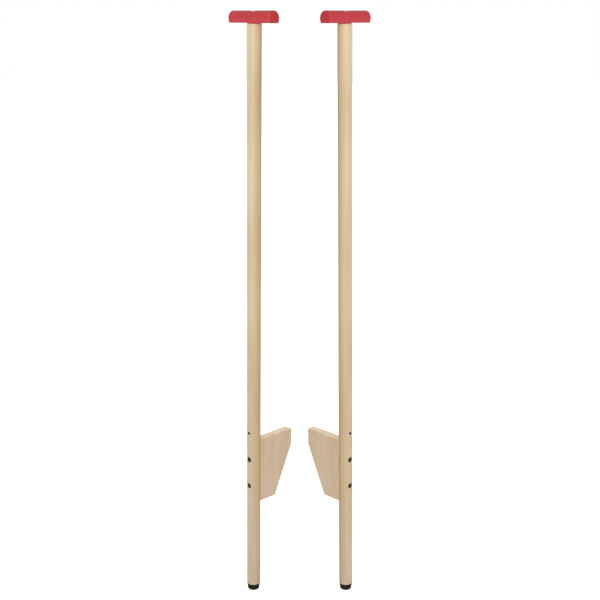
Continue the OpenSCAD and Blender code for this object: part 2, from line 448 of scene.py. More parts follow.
def pole_shape():
    """The turned pole, its tenon, the bores of its two wood screws and the bolt holes."""
    bore_top = TREAD_RECESS_H + FOOT_SCREW_LEN + SCREW_ROOM
    bore_bottom = RECESS_Z - GRIP_SCREW_LEN - SCREW_ROOM
    tenon_top = SHOULDER_Z + TENON_LEN
    corner_r = POLE_R - POLE_EDGE
    steps = range(-HOLE_PATCH_ROWS, HOLE_PATCH_ROWS + 1)
    rows = [
        height + HOLE_PATCH * row / HOLE_PATCH_ROWS for height in HOLE_HEIGHTS for row in steps
    ]
    profile = [(0, bore_top), (SCREW_HOLE_R, bore_top), (SCREW_HOLE_R, FOOT_H)]
    profile += arc((corner_r, FOOT_H + POLE_EDGE), POLE_EDGE, -90, 0)
    profile += [(POLE_R, height) for height in rows]
    profile += arc((corner_r, SHOULDER_Z - POLE_EDGE), POLE_EDGE, 0, 90)
    profile += [(TENON_R, SHOULDER_Z), (TENON_R, tenon_top - POLE_EDGE)]
    profile += [(TENON_R - POLE_EDGE, tenon_top), (SCREW_HOLE_R, tenon_top)]
    profile += [(SCREW_HOLE_R, bore_bottom), (0, bore_bottom)]
    bm = lathe(profile, POLE_STEPS)
    for height in HOLE_HEIGHTS:
        drill_pole(bm, height, height in BOLT_HEIGHTS.values())
    return bm


def drill_pole(bm, height, sunk):
    """Drills a bolt hole along x. A sunk one has a wider mouth for the bolt's head at -x."""
    reach = POLE_R * math.sin(HOLE_PATCH_ANGLE)
    mouth_r = HEAD_HOLE_R if sunk else HOLE_R

    def flat(co):
        return co.y, co.z - height

    def wall(sign):
        return lambda u, v: Vector((sign * math.sqrt(POLE_R**2 - u**2), u, height + v))

    def window(sign):
        centres = [(f, f.calc_center_median()) for f in bm.faces]
        return [
            f
            for f, c in centres
            if c.x * sign > 0
            and abs(c.y) < reach
            and abs(c.z - height) < HOLE_PATCH
            and c.xy.length > POLE_R - MM
        ]

    def on_rim(co):
        across = math.hypot(*flat(co))
        edge = mouth_r if co.x < 0 else HOLE_R
        return abs(across - edge) < WELD and abs(co.xy.length - POLE_R) < WELD

    loop = open_hole(bm, window(-1), flat, wall(-1), mouth_r)
    if sunk:
        loop = draw(bm, loop, lambda co: Vector((SEAT_X, co.y, co.z)))
        middle = Vector((SEAT_X, 0, height))
        loop = draw(bm, loop, lambda co: scaled(co, middle, HOLE_R / HEAD_HOLE_R))
    draw(bm, loop, lambda co: wall(1)(*flat(co)))
    open_hole(bm, window(1), flat, wall(1), HOLE_R)
    bmesh.ops.remove_doubles(bm, verts=bm.verts, dist=WELD)
    rims = [e for e in bm.edges if all(on_rim(v.co) for v in e.verts)]
    round_edges(bm, rims, HOLE_RIM)


def footrest_shape():
    """The wedge footrest: a board with rounded edges, hollowed at its back for the pole."""
    outline = [
        (STEP_BACK_X, 0),
        (STEP_TOE, 0),
        (STEP_REACH, STEP_H - STEP_NOSE_H),
        (STEP_REACH, STEP_H),
        (STEP_BACK_X, STEP_H),
    ]
    bm = bmesh.new()
    corners = [bm.verts.new((x, -STEP_T / 2, STEP_Z + z)) for x, z in outline]
    bm.faces.new(corners)
    for corner in corners:
        one, two = (e.other_vert(corner).co - corner.co for e in corner.link_edges)
        bmesh.ops.bevel(
            bm,
            geom=[corner],
            offset=STEP_CORNER / math.tan(one.angle(two) / 2),
            segments=STEP_CORNER_STEPS,
            profile=0.5,
            affect="VERTICES",
            material=-1,
        )
    made = bmesh.ops.extrude_face_region(bm, geom=bm.faces[:])["geom"]
    bmesh.ops.translate(bm, verts=new_verts(made), vec=(0, STEP_T, 0))
    bmesh.ops.recalc_face_normals(bm, faces=bm.faces)
    flats = [f for f in bm.faces if abs(f.normal.y) > FACING]
    rims = unique(e for f in flats for e in f.edges)
    round_edges(bm, rims, STEP_EDGE, STEP_EDGE_STEPS)
    tools = [rod(GROOVE_R, STEP_Z - OVERRUN, STEP_Z + STEP_H + OVERRUN, 2 * POLE_STEPS)]
    for height in BOLT_HEIGHTS.values():
        turn = Matrix.Translation((0, 0, height)) @ Matrix.Rotation(math.radians(90), 4, "Y")
        for radius, end in ((INSERT_R, INSERT_X + INSERT_LEN), (HOLE_R, BOLT_BORE_END)):
            drill = rod(radius, 0, end)
            drill.transform(turn)
            tools.append(drill)
    return combine(bm, tools)


def crown(x):
    """Height of the bar's upper surface above its underside, at a distance x from its middle."""
    crest = GRIP_CREST_W / 2
    share = min(max((abs(x) - crest) / (GRIP_W / 2 - crest), 0), 1)
    return GRIP_BELLY_Z + (GRIP_H - GRIP_BELLY_Z) * math.sqrt(1 - share**2)


def dip(y):
    """Depth of the saddle across the crest, at a distance y from its middle."""
    half = SADDLE_LEN / 2
    radius = (half**2 + SADDLE_DEPTH**2) / (2 * SADDLE_DEPTH)
    if abs(y) >= half:
        return 0
    return SADDLE_DEPTH - radius + math.sqrt(radius**2 - y**2)


def saddled(co, shift):
    """A point of the bar lowered by the saddle."""
    rise = co.z - BAR_Z - GRIP_BELLY_Z
    if rise <= 0:
        return co
    lower = rise * dip(co.y - shift) / (GRIP_H - GRIP_BELLY_Z)
    return Vector((co.x, co.y, co.z - lower))


def grip_shape(shift):
    """The moulded T-grip: a crowned bar with a saddle, a collar and a socket for the tenon."""
    corner_x = GRIP_BASE_W / 2 - GRIP_LOW_EDGE
    half = [(corner_x * i / GRIP_FLAT_STEPS, 0) for i in range(GRIP_FLAT_STEPS)]
    half += arc((corner_x, GRIP_LOW_EDGE), GRIP_LOW_EDGE, -90, 0, GRIP_LOW_STEPS)
    crest = GRIP_CREST_W / 2
    for i in range(GRIP_CROWN_STEPS + 1):
        x = crest + (GRIP_W / 2 - crest) * math.cos(math.radians(90 * i / GRIP_CROWN_STEPS))
        half.append((x, crown(x)))
    section = half + [(0, GRIP_H)] + [(-x, z) for x, z in reversed(half[1:])]

    bm = bmesh.new()
    start = shift - GRIP_LEN / 2
    ring = [bm.verts.new((x, start, BAR_Z + z)) for x, z in section]
    cap = bm.faces.new(ring)
    end = shift + GRIP_LEN / 2
    levels = [start, start + GRIP_LAST_ROW, start + GRIP_COARSE_ROW]
    levels += [row * MM for row in range(-GRIP_FINE_ROWS, GRIP_FINE_ROWS + 1)]
    levels += [end - GRIP_COARSE_ROW, end - GRIP_LAST_ROW, end]
    for here, there in zip(levels, levels[1:]):
        made = bmesh.ops.extrude_face_region(bm, geom=[cap])["geom"]
        bmesh.ops.translate(bm, verts=new_verts(made), vec=(0, there - here, 0))
        if here != start:
            bmesh.ops.delete(bm, geom=[cap], context="FACES_ONLY")
        cap = next(g for g in made if isinstance(g, bmesh.types.BMFace))
    weld(bm)
    caps = [f for f in bm.faces if abs(f.normal.y) > FACING]
    rims = unique(e for f in caps for e in f.edges)
    round_edges(bm, rims, GRIP_END_EDGE, GRIP_END_STEPS)
    for vert in bm.verts:
        vert.co = saddled(vert.co, shift)

    def flat(co):
        return co.x, co.y

    def top(u, v):
        return saddled(Vector((u, v, BAR_Z + crown(u))), shift)

    centres = [(f, f.calc_center_median()) for f in bm.faces]
    window = [
        f
        for f, c in centres
        if c.z > BAR_Z + GRIP_BELLY_Z and max(map(abs, flat(c))) < RECESS_PATCH
    ]
    rim = open_hole(bm, window, flat, top, RECESS_R)
    centre = Vector((0, 0, RECESS_Z))
    loop = draw(bm, rim, lambda co: Vector((co.x, co.y, RECESS_Z)))
    loop = draw(bm, loop, lambda co: scaled(co, centre, SCREW_HOLE_R / RECESS_R))
    loop = draw(bm, loop, lambda co: Vector((co.x, co.y, SOCKET_TOP)))
    centre = Vector((0, 0, SOCKET_TOP))
    draw(bm, loop, lambda co: scaled(co, centre, SOCKET_R / SCREW_HOLE_R))
    centres = [(f, f.calc_center_median()) for f in bm.faces]
    window = [
        f
        for f, c in centres
        if c.z < BAR_Z + WELD and abs(c.y) < SOCKET_PATCH and abs(c.x) < corner_x
    ]
    open_hole(bm, window, flat, lambda u, v: Vector((u, v, BAR_Z)), SOCKET_R, 1)
    bmesh.ops.bridge_loops(bm, edges=at_height(bm, SOCKET_TOP) + at_height(bm, BAR_Z))
    bmesh.ops.recalc_face_normals(bm, faces=bm.faces)
    rim = [
        e
        for e in bm.edges
        if all(
            abs(math.hypot(v.co.x, v.co.y) - RECESS_R) < WELD and v.co.z > RECESS_Z + MM
            for v in e.verts
        )
    ]
    round_edges(bm, rim, RECESS_RIM)
    collar_top = BAR_Z + GRIP_LOW_EDGE
    inner_r = SOCKET_R + COLLAR_SLACK
    profile = [(inner_r, SHOULDER_Z)]
    middle = (COLLAR_R - COLLAR_EDGE, SHOULDER_Z + COLLAR_EDGE)
    profile += arc(middle, COLLAR_EDGE, -90, 0, RIM_STEPS)
    profile += [(COLLAR_R - COLLAR_TAPER, collar_top), (inner_r, collar_top)]
    return combine(bm, [lathe(profile, POLE_STEPS, closed=True)], "UNION")


def wood_screw_shape(length):
    """A round-headed wood screw, its head standing on z = 0 and its thread running down."""
    neck_r = SCREW_R - SCREW_THREAD
    bm = thread(SCREW_R, neck_r, SCREW_PITCH, -length, -SCREW_PITCH)
    for vert in bm.verts:
        reach = min((vert.co.z + length) / SCREW_POINT, 1)
        vert.co.x *= reach
        vert.co.y *= reach
    loop = at_height(bm, -SCREW_PITCH)
    loop = draw(bm, loop, lambda co: on_circle(co, SCREW_R, 0))
    loop = draw(bm, loop, lambda co: on_circle(co, SCREW_HEAD_R, 0))
    for radius, height in arc((0, 0), SCREW_HEAD_R, 0, 90, SCREW_HEAD_STEPS)[1:]:
        rise = height * SCREW_HEAD_H / SCREW_HEAD_R
        loop = draw(bm, loop, lambda co: on_circle(co, radius, rise))
    weld(bm)
    tools = []
    for turn in (0, 90):
        arm = block(CROSS_W, CROSS_T, 2 * CROSS_DEPTH)
        bmesh.ops.rotate(arm, verts=arm.verts, matrix=Matrix.Rotation(math.radians(turn), 3, "Z"))
        bmesh.ops.translate(arm, verts=arm.verts, vec=(0, 0, SCREW_HEAD_H))
        tools.append(arm)
    return combine(bm, tools)


def hexagon(co, width):
    """A point of a round loop about z moved onto a hexagon of a given width across flats."""
    angle = math.atan2(co.y, co.x)
    from_flat = (angle + math.radians(30)) % math.radians(60) - math.radians(30)
    return Vector((*co.xy.normalized() * width / 2 / math.cos(from_flat), co.z))


def bolt_shape():
    """A knurled socket-head bolt, its head standing on z = 0 and its thread running down."""
    edge = HEAD_LOW_EDGE
    profile = [(BOLT_R + edge, 0), (HEAD_R - edge, 0), (HEAD_R, edge)]
    profile += [(HEAD_R, HEAD_H - HEAD_EDGE - edge)]
    profile += arc((HEAD_R - HEAD_EDGE, HEAD_H - HEAD_EDGE), HEAD_EDGE, 0, 90)
    profile += [(KEY_W / 2 + KEY_LIP, HEAD_H)]
    bm = lathe(profile)
    for vert in bm.verts:
        column = round(math.atan2(vert.co.y, vert.co.x) / math.tau * FINE)
        if column % 2 and vert.co.xy.length > HEAD_R - WELD and vert.co.z < HEAD_H - HEAD_EDGE:
            vert.co.xy = vert.co.xy.normalized() * (HEAD_R - KNURL_DEPTH)
    loop = draw(bm, at_height(bm, HEAD_H), lambda co: hexagon(co, KEY_W))
    floor = HEAD_H - KEY_DEPTH
    loop = draw(bm, loop, lambda co: Vector((co.x, co.y, floor)))
    draw(bm, loop, lambda co: Vector((0, 0, floor - KEY_CONE)))
    root_r = BOLT_R - THREAD_DEPTH
    join(bm, thread(BOLT_R, root_r, THREAD_PITCH, BOLT_TIP - BOLT_LEN, -THREAD_START))
    bmesh.ops.bridge_loops(bm, edges=at_height(bm, 0) + at_height(bm, -THREAD_START))
    loop = at_height(bm, BOLT_TIP - BOLT_LEN)
    loop = draw(bm, loop, lambda co: on_circle(co, root_r - BOLT_TIP_STEP, -BOLT_LEN))
    draw(bm, loop, lambda co: Vector((0, 0, -BOLT_LEN)))
    weld(bm)
    return bm


def washer_shape(radius, hole_r, thickness):
    """A flat washer standing on z = 0, its edges slightly rounded."""
    edge = thickness * WASHER_EDGE
    profile = []
    for corner_r, side in ((hole_r + edge, 180), (radius - edge, 0)):
        low = arc((corner_r, edge), edge, side, 270 if side else -90, WASHER_EDGE_STEPS)
        high = arc((corner_r, thickness - edge), edge, 90, side, WASHER_EDGE_STEPS)
        profile += high + low if side else list(reversed(high + low))
    return lathe(profile, closed=True)


def insert_shape():
    """A slotted threaded insert, its rim on z = 0 and its body running up."""
    edge = INSERT_EDGE
    root_r = INSERT_BORE_R + INSERT_THREAD
    profile = [(root_r + edge, 0), (INSERT_R - edge, 0), (INSERT_R, edge)]
    profile += [(INSERT_R, INSERT_LEN - edge), (INSERT_R - edge, INSERT_LEN)]
    profile += [(root_r + edge, INSERT_LEN)]
    bm = lathe(profile)
    join(bm, thread(INSERT_BORE_R, root_r, THREAD_PITCH, edge, INSERT_LEN - edge))
    bmesh.ops.bridge_loops(bm, edges=at_height(bm, 0) + at_height(bm, edge))
    bmesh.ops.bridge_loops(bm, edges=at_height(bm, INSERT_LEN) + at_height(bm, INSERT_LEN - edge))
    weld(bm)
    return combine(bm, [block(INSERT_SLOT_W, 3 * INSERT_R, 2 * INSERT_SLOT_DEPTH)])


def rubber_foot_shape():
    """The tapered rubber foot, with the recess in its tread and the seat of its washer."""
    seat_top = TREAD_RECESS_H + FOOT_WASHER_T
    profile = [(TREAD_RECESS_R, -TREAD_SPARE), (TREAD_R - TREAD_EDGE, -TREAD_SPARE)]
    profile += arc((TREAD_R - TREAD_EDGE, TREAD_EDGE), TREAD_EDGE, -90, 0, FOOT_STEPS)
    profile += arc((FOOT_R - FOOT_RIM, FOOT_H - FOOT_RIM), FOOT_RIM, 0, 90, FOOT_STEPS)
    profile += [(SCREW_HOLE_R, FOOT_H), (SCREW_HOLE_R, seat_top), (FOOT_WASHER_R, seat_top)]
    profile += [(FOOT_WASHER_R, TREAD_RECESS_H), (TREAD_RECESS_R, TREAD_RECESS_H)]
    return lathe(profile, POLE_STEPS, closed=True)


def level_tread(bm):
    """Cuts a foot that stands in its place level with the floor."""
    cut_level(bm, 0, -1)
    bmesh.ops.bridge_loops(bm, edges=open_edges(bm))
    bmesh.ops.recalc_face_normals(bm, faces=bm.faces)


# Materials


def srgb(red, green, blue):
    """A colour as the eye reads it, from 0 to 255, in the linear values that shaders take."""
    shares = [value / 255 for value in (red, green, blue)]
    return (*[s / 12.92 if s <= 0.04045 else ((s + 0.055) / 1.055) ** 2.4 for s in shares], 1)


def add(tree, kind, inputs=(), **settings):
    """Adds a shader node. inputs pairs its sockets with values or with sockets that feed them."""
    made = tree.nodes.new(kind)
    for name, value in settings.items():
        setattr(made, name, value)
    for key, value in inputs:
        if isinstance(value, bpy.types.NodeSocket):
            tree.links.new(value, made.inputs[key])
        else:
            made.inputs[key].default_value = value
    return made


def mix(tree, share, first, second, blend="MIX"):
    """Mixes two colours and returns the socket of the result."""
    inputs = ((0, share), (6, first), (7, second))
    made = add(tree, "ShaderNodeMix", inputs, data_type="RGBA", blend_type=blend)
    return made.outputs[2]


def span(tree, value, low, high, to_low=0.0, to_high=1.0):
    """Stretches a value's range and returns the socket of the result."""
    inputs = (
        ("Value", value),
        ("From Min", low),
        ("From Max", high),
        ("To Min", to_low),
        ("To Max", to_high),
    )
    return add(tree, "ShaderNodeMapRange", inputs).outputs["Result"]


def group(name, inputs, outputs):
    """A new node group with its two end nodes."""
    tree = bpy.data.node_groups.new(name, "ShaderNodeTree")
    for side, sockets in (("INPUT", inputs), ("OUTPUT", outputs)):
        for label, kind in sockets:
            tree.interface.new_socket(label, in_out=side, socket_type="NodeSocket" + kind)
    return tree, tree.nodes.new("NodeGroupInput"), tree.nodes.new("NodeGroupOutput")


def noise(tree, place, detail, scale=1, roughness=0.5):
    """Adds a noise texture."""
    inputs = (("Vector", place), ("Scale", scale), ("Detail", detail), ("Roughness", roughness))
    return add(tree, "ShaderNodeTexNoise", inputs)


def calc(tree, operation, *values):
    """Works out a number and returns its socket."""
    return add(tree, "ShaderNodeMath", enumerate(values), operation=operation).outputs[0]


def calc_vector(tree, operation, *values):
    """Works out a vector and returns its socket."""
    return add(tree, "ShaderNodeVectorMath", enumerate(values), operation=operation).outputs[0]


def from_axis(tree, place):
    """The distance of a place from the z axis."""
    flat = calc_vector(tree, "MULTIPLY", place, (1, 1, 0))
    made = add(tree, "ShaderNodeVectorMath", ((0, flat),), operation="LENGTH")
    return made.outputs["Value"]


def stretched(tree, place, grain):
    """A place scaled to the grain of a texture."""
    return add(tree, "ShaderNodeMapping", (("Vector", place), ("Scale", grain))).outputs[0]


def add_bump(tree, shader, height, depth, strength):
    """Gives a surface a relief of some depth."""
    inputs = (("Height", height), ("Distance", depth), ("Strength", strength))
    made = add(tree, "ShaderNodeBump", inputs)
    tree.links.new(made.outputs["Normal"], shader.inputs["Normal"])


# How much a wave texture at scale 1 turns over a unit of length, in radians
WAVE_TURN = 20

# The grain of the wood's textures, per metre across and along it, how far the grain wanders, and
# the sizes and the share of the cells that become flecks
BEND_GRAIN = (14, 14, 2.2)
BEND_REACH = (0.012, 0.012, 0.0)
FIBRE_GRAIN = (1700, 1700, 34)
FIBRE_ROUGHNESS = 0.6
FLECK_GRAIN = (1500, 1500, 260)
FLECK_SIZE = (0.3, 0.12)
FLECK_PICK = (0.72, 0.8)
STREAK_GRAIN = (260, 260, 3)
CLOUD_GRAIN = (55, 55, 6)
SKIN_CLOUD = 60


def beech_group():
    """Close-grained wood along z: faint growth rings, fine fibres and short dark flecks."""
    marks = ("Rings", "Fibres", "Flecks", "Streaks", "Cloud", "From Heart")
    tree, given, out = group(
        "beech",
        (("Vector", "Vector"), ("Ring Spacing", "Float")),
        [(mark, "Float") for mark in marks],
    )
    place = given.outputs["Vector"]
    bend = noise(tree, stretched(tree, place, BEND_GRAIN), 2)
    offset = calc_vector(tree, "MULTIPLY", bend.outputs["Color"], BEND_REACH)
    bent = calc_vector(tree, "ADD", place, offset)
    scale = calc(tree, "DIVIDE", math.tau / WAVE_TURN, given.outputs["Ring Spacing"])
    rings = add(
        tree,
        "ShaderNodeTexWave",
        (("Vector", bent), ("Scale", scale)),
        wave_type="RINGS",
        rings_direction="Z",
        wave_profile="SAW",
    )
    fibres = noise(tree, stretched(tree, bent, FIBRE_GRAIN), 3, roughness=FIBRE_ROUGHNESS)
    inputs = (("Vector", stretched(tree, place, FLECK_GRAIN)), ("Scale", 1))
    cells = add(tree, "ShaderNodeTexVoronoi", inputs)
    near = span(tree, cells.outputs["Distance"], *FLECK_SIZE)
    chosen = add(tree, "ShaderNodeSeparateColor", (("Color", cells.outputs["Color"]),))
    picked = span(tree, chosen.outputs["Red"], *FLECK_PICK)
    flecks = calc(tree, "MULTIPLY", near, picked)
    streaks = noise(tree, stretched(tree, bent, STREAK_GRAIN), 2)
    cloud = noise(tree, stretched(tree, place, CLOUD_GRAIN), 3)
    results = (
        rings.outputs["Fac"],
        fibres.outputs["Fac"],
        flecks,
        streaks.outputs["Fac"],
        cloud.outputs["Fac"],
        from_axis(tree, place),
    )
    for mark, result in zip(marks, results):
        tree.links.new(result, out.inputs[mark])
    return tree


def skin_group():
    """The fine uneven skin of a moulded or blackened surface, as a height and as a mask."""
    tree, given, out = group(
        "skin",
        (("Vector", "Vector"), ("Grain", "Float")),
        (("Height", "Float"), ("Mask", "Float")),
    )
    grain = noise(tree, given.outputs["Vector"], 3, given.outputs["Grain"])
    cloud = noise(tree, given.outputs["Vector"], 4, SKIN_CLOUD)
    tree.links.new(grain.outputs["Fac"], out.inputs["Height"])
    tree.links.new(cloud.outputs["Fac"], out.inputs["Mask"])
    return tree


def material(name):
    """A new material, its node tree, its surface shader and the piece's own place."""
    made = bpy.data.materials.new(name)
    made.use_nodes = True
    tree = made.node_tree
    shader = tree.nodes["Principled BSDF"]
    place = tree.nodes.new("ShaderNodeTexCoord").outputs["Object"]
    return made, tree, shader, place


def own_frame(tree, place, matrix):
    """The piece's place turned back into its stilt's own frame."""
    back = matrix.inverted()
    inputs = (
        ("Vector", place),
        ("Location", back.to_translation()),
        ("Rotation", back.to_euler()),
    )
    return add(tree, "ShaderNodeMapping", inputs).outputs[0]


# The wood's colours, the painted shade inside the bolt holes, its paler and greyer stretches
# along the pole, the footrest's tone, and where the warmer heart of each piece lies
WOOD_LIGHT = srgb(236, 216, 184)
WOOD_DARK = srgb(208, 178, 138)
WOOD_FLECK = srgb(150, 110, 74)
WOOD_WARM = srgb(255, 243, 222)
# painted shade: a dark brown the wood inside the bolt holes is multiplied by, in place of the
# shade in the holes
BORE_SHADE_COLOUR = srgb(50, 36, 25)
BORE_SHADE_EDGE = 0.5 * MM
BORE_SHADE_FADE = 2 * MM
WOOD_PALE = (1.07, 1.12, 1.15, 1)
WOOD_GREY = (0.98, 1.03, 1.12, 1)
PALE_PERIOD = 258 * MM
PALE_Z = 900 * MM
PALE_FROM = 450 * MM
PALE_FULL = 600 * MM
GREY_FROM = 250 * MM
FOOTREST_TONE = (1.05, 1.08, 1.18, 1)
RING_SPACING = 2.6 * MM
POLE_HEART = 36 * MM
FOOTREST_HEART = (20 * MM, 70 * MM)

# Each mark of the wood: the range of its texture, its share where it is full, and its colour
WOOD_MARKS = (
    ("Rings", 0.0, 1.0, 0.28, WOOD_DARK),
    ("Fibres", 0.35, 0.75, 0.3, WOOD_DARK),
    ("Streaks", 0.35, 0.7, 0.2, WOOD_DARK),
    ("Cloud", 0.35, 0.65, 0.4, WOOD_DARK),
    ("Flecks", 0.0, 1.0, 0.4, WOOD_FLECK),
)
WOOD_ROUGHNESS = (0.3, 0.7, 0.42, 0.56)
WOOD_RELIEF = (0.05 * MM, 0.35)
WOOD_COAT = 0.15
WOOD_COAT_ROUGHNESS = 0.35
RED = srgb(217, 62, 70)
RED_DEEP = srgb(209, 57, 65)
RUBBER = srgb(26, 21, 20)
RUBBER_DUST = srgb(42, 36, 34)
BLACK_STEEL = srgb(72, 56, 42)
BLACK_STEEL_WORN = srgb(116, 97, 78)
ZINC = srgb(196, 199, 202)
ZINC_DULL = srgb(160, 165, 170)
BRASS = srgb(206, 172, 98)
BRASS_DULL = srgb(170, 136, 78)

# The other finishes: two close colours, the grain per metre, the roughness from and to, the
# grain's depth, the share of metal and the shine
SKINS = {
    "red_plastic": ((RED, RED_DEEP), 1800, (0.22, 0.28), 0.006 * MM, 0, 0.5),
    "black_rubber": ((RUBBER, RUBBER_DUST), 2200, (0.6, 0.8), 0.06 * MM, 0, 0.25),
    "black_steel": ((BLACK_STEEL, BLACK_STEEL_WORN), 2500, (0.35, 0.5), 0.02 * MM, 0.7, 0.5),
    "bright_steel": ((ZINC, ZINC_DULL), 1500, (0.25, 0.4), 0.02 * MM, 1, 0.5),
    "brass": ((BRASS, BRASS_DULL), 1500, (0.3, 0.45), 0.02 * MM, 1, 0.5),
}
SKIN_MASK = (0.35, 0.7)
SKIN_RELIEF = 0.5


def add_stretches(tree, own, height, colour):
    """The pole's own slow changes along its length: paler stretches above, greyer at its foot."""
    scale = math.tau / WAVE_TURN / PALE_PERIOD
    wave = add(
        tree,
        "ShaderNodeTexWave",
        (
            ("Vector", own),
            ("Scale", scale),
            ("Phase Offset", math.pi - WAVE_TURN * scale * PALE_Z),
        ),
        wave_type="BANDS",
        bands_direction="Z",
        wave_profile="SIN",
    )
    share = span(tree, height, PALE_FROM, PALE_FULL)
    pale = calc(tree, "MULTIPLY", wave.outputs["Fac"], share)
    colour = mix(tree, pale, colour, WOOD_PALE, "MULTIPLY")
    return mix(tree, span(tree, height, GREY_FROM, 0), colour, WOOD_GREY, "MULTIPLY")


def add_bore_shade(tree, own, height, colour):
    """Painted shade inside the pole where it is drilled for the bolts: darkens the wood of the
    holes' walls and seats.
    """
    edge_r = POLE_R - BORE_SHADE_EDGE
    painted_shade = span(tree, from_axis(tree, own), edge_r, edge_r - BORE_SHADE_FADE)
    reach = HOLE_HEIGHTS[2] - HOLE_HEIGHTS[1] + HOLE_PATCH
    drilled = calc(tree, "COMPARE", height, HOLE_HEIGHTS[1], reach)
    share = calc(tree, "MULTIPLY", painted_shade, drilled)
    return mix(tree, share, colour, BORE_SHADE_COLOUR, "MULTIPLY")


def wood_material(name, matrix, heart, shared, tone=None):
    """Pale wood under clear lacquer, warmer towards the tree's heart. heart is the place of that
    heart in the stilt's own frame. Wood with no tone of its own is the pole's."""
    made, tree, shader, place = material(name)
    own = own_frame(tree, place, matrix)
    moved = calc_vector(tree, "SUBTRACT", own, heart)
    inputs = (("Vector", moved), ("Ring Spacing", RING_SPACING))
    beech = add(tree, "ShaderNodeGroup", inputs, node_tree=shared)
    colour = WOOD_LIGHT
    for mark, low, high, full, tint in WOOD_MARKS:
        share = span(tree, beech.outputs[mark], low, high, 0.0, full)
        colour = mix(tree, share, colour, tint)
    distance = Vector(heart).length
    warmth = span(tree, beech.outputs["From Heart"], distance + POLE_R, distance - POLE_R)
    colour = mix(tree, warmth, colour, WOOD_WARM, "MULTIPLY")
    if tone:
        colour = mix(tree, 1, colour, tone, "MULTIPLY")
    else:
        height = add(tree, "ShaderNodeSeparateXYZ", (("Vector", own),)).outputs["Z"]
        colour = add_stretches(tree, own, height, colour)
        # the walls and seats of the bolt holes get painted shade
        colour = add_bore_shade(tree, own, height, colour)
    tree.links.new(colour, shader.inputs["Base Color"])
    rough = span(tree, beech.outputs["Fibres"], *WOOD_ROUGHNESS)
    tree.links.new(rough, shader.inputs["Roughness"])
    add_bump(tree, shader, beech.outputs["Fibres"], *WOOD_RELIEF)
    shader.inputs["Coat Weight"].default_value = WOOD_COAT
    shader.inputs["Coat Roughness"].default_value = WOOD_COAT_ROUGHNESS
    return made


def skin_material(name, shared, colours, grain, roughness, depth, metal, shine):
    """A surface of one stuff: two close colours, a roughness range and a grain of some depth."""
    made, tree, shader, place = material(name)
    inputs = (("Vector", place), ("Grain", grain))
    skin = add(tree, "ShaderNodeGroup", inputs, node_tree=shared)
    colour = mix(tree, span(tree, skin.outputs["Mask"], *SKIN_MASK), *colours)
    tree.links.new(colour, shader.inputs["Base Color"])
    rough = span(tree, skin.outputs["Mask"], *SKIN_MASK, *roughness)
    tree.links.new(rough, shader.inputs["Roughness"])
    add_bump(tree, shader, skin.outputs["Height"], depth, SKIN_RELIEF)
    shader.inputs["Metallic"].default_value = metal
    shader.inputs["Specular IOR Level"].default_value = shine
    return made


# Setting the pieces in place


def add_piece(name, bm, body, finish):
    """Makes an object of a shape that is already in its place, in place of its CAD node."""
    mesh = bpy.data.meshes.new(name)
    bm.to_mesh(mesh)
    bm.free()
    mesh.polygons.foreach_set("use_smooth", [True] * len(mesh.polygons))
    mesh.set_sharp_from_angle(angle=SHARP)
    mesh.materials.append(finish)
    piece = bpy.data.objects.new(name + "_piece", mesh)
    bpy.context.scene.collection.objects.link(piece)
    piece.modifiers.new("normals", "WEIGHTED_NORMAL").keep_sharp = True
    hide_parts(name)
    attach(piece, body)
    return piece


def add_stilt(side, finishes):
    """All pieces of one stilt."""
    place = stilt_place(side)
    shift = GRIP_SHIFT if side == "left" else -GRIP_SHIFT
    outwards = Matrix.Rotation(math.radians(-90), 4, "Y")
    inwards = Matrix.Rotation(math.radians(90), 4, "Y")
    over = Matrix.Rotation(math.radians(180), 4, "X")
    crest = Matrix.Translation((0, 0, RECESS_Z))
    recess = Matrix.Translation((0, 0, TREAD_RECESS_H))

    def put(name, bm, body, slot, finish=None, local=Matrix.Identity(4)):
        bm.transform(place @ local)
        if name == "rubber_foot":
            level_tread(bm)
        chosen = finishes[finish or slot]
        return add_piece(f"{side}_{name}", bm, f"{side}_{body}", chosen)

    pieces = [
        put("pole", pole_shape(), "stilt", "wood", side + "_pole"),
        put("grip", grip_shape(shift), "stilt", "red_plastic"),
        put("grip_screw", wood_screw_shape(GRIP_SCREW_LEN), "stilt", "bright_steel", local=crest),
        put("footrest", footrest_shape(), "step", "wood", side + "_footrest"),
    ]
    inserts = bmesh.new()
    for height in BOLT_HEIGHTS.values():
        one = insert_shape()
        one.transform(Matrix.Translation((INSERT_X, 0, height)) @ inwards)
        join(inserts, one)
    pieces.append(put("inserts", inserts, "step", "brass"))
    for level, height in BOLT_HEIGHTS.items():
        bolt = Matrix.Translation((SEAT_X - WASHER_T, 0, height)) @ outwards
        washer = Matrix.Translation((SEAT_X, 0, height)) @ outwards
        name = level + "_washer"
        shape = washer_shape(WASHER_R, WASHER_HOLE_R, WASHER_T)
        pieces.append(put(name, shape, name, "black_steel", local=washer))
        name = level + "_bolt"
        pieces.append(put(name, bolt_shape(), name, "black_steel", local=bolt))
    pieces.append(put("rubber_foot", rubber_foot_shape(), "stilt", "black_rubber"))
    shape = washer_shape(FOOT_WASHER_R, SCREW_HOLE_R, FOOT_WASHER_T)
    pieces.append(put("foot_washer", shape, "stilt", "bright_steel", local=recess))
    shape = wood_screw_shape(FOOT_SCREW_LEN)
    pieces.append(put("foot_screw", shape, "stilt", "bright_steel", local=recess @ over))
    return pieces


# Camera, floor and light


def add_camera():
    """The camera at the photograph's place."""
    low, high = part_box("left_pole")
    pole_y = (low.y + high.y) / 2
    data = bpy.data.cameras.new("camera")
    data.lens = LENS_MM
    data.sensor_width = SENSOR_MM
    camera = bpy.data.objects.new("camera", data)
    camera.location = (CAMERA_X, pole_y - CAMERA_BEFORE_POLES, CAMERA_HEIGHT)
    camera.rotation_euler = (math.radians(90) - CAMERA_DOWN, 0, 0)
    bpy.context.scene.collection.objects.link(camera)
    bpy.context.scene.camera = camera


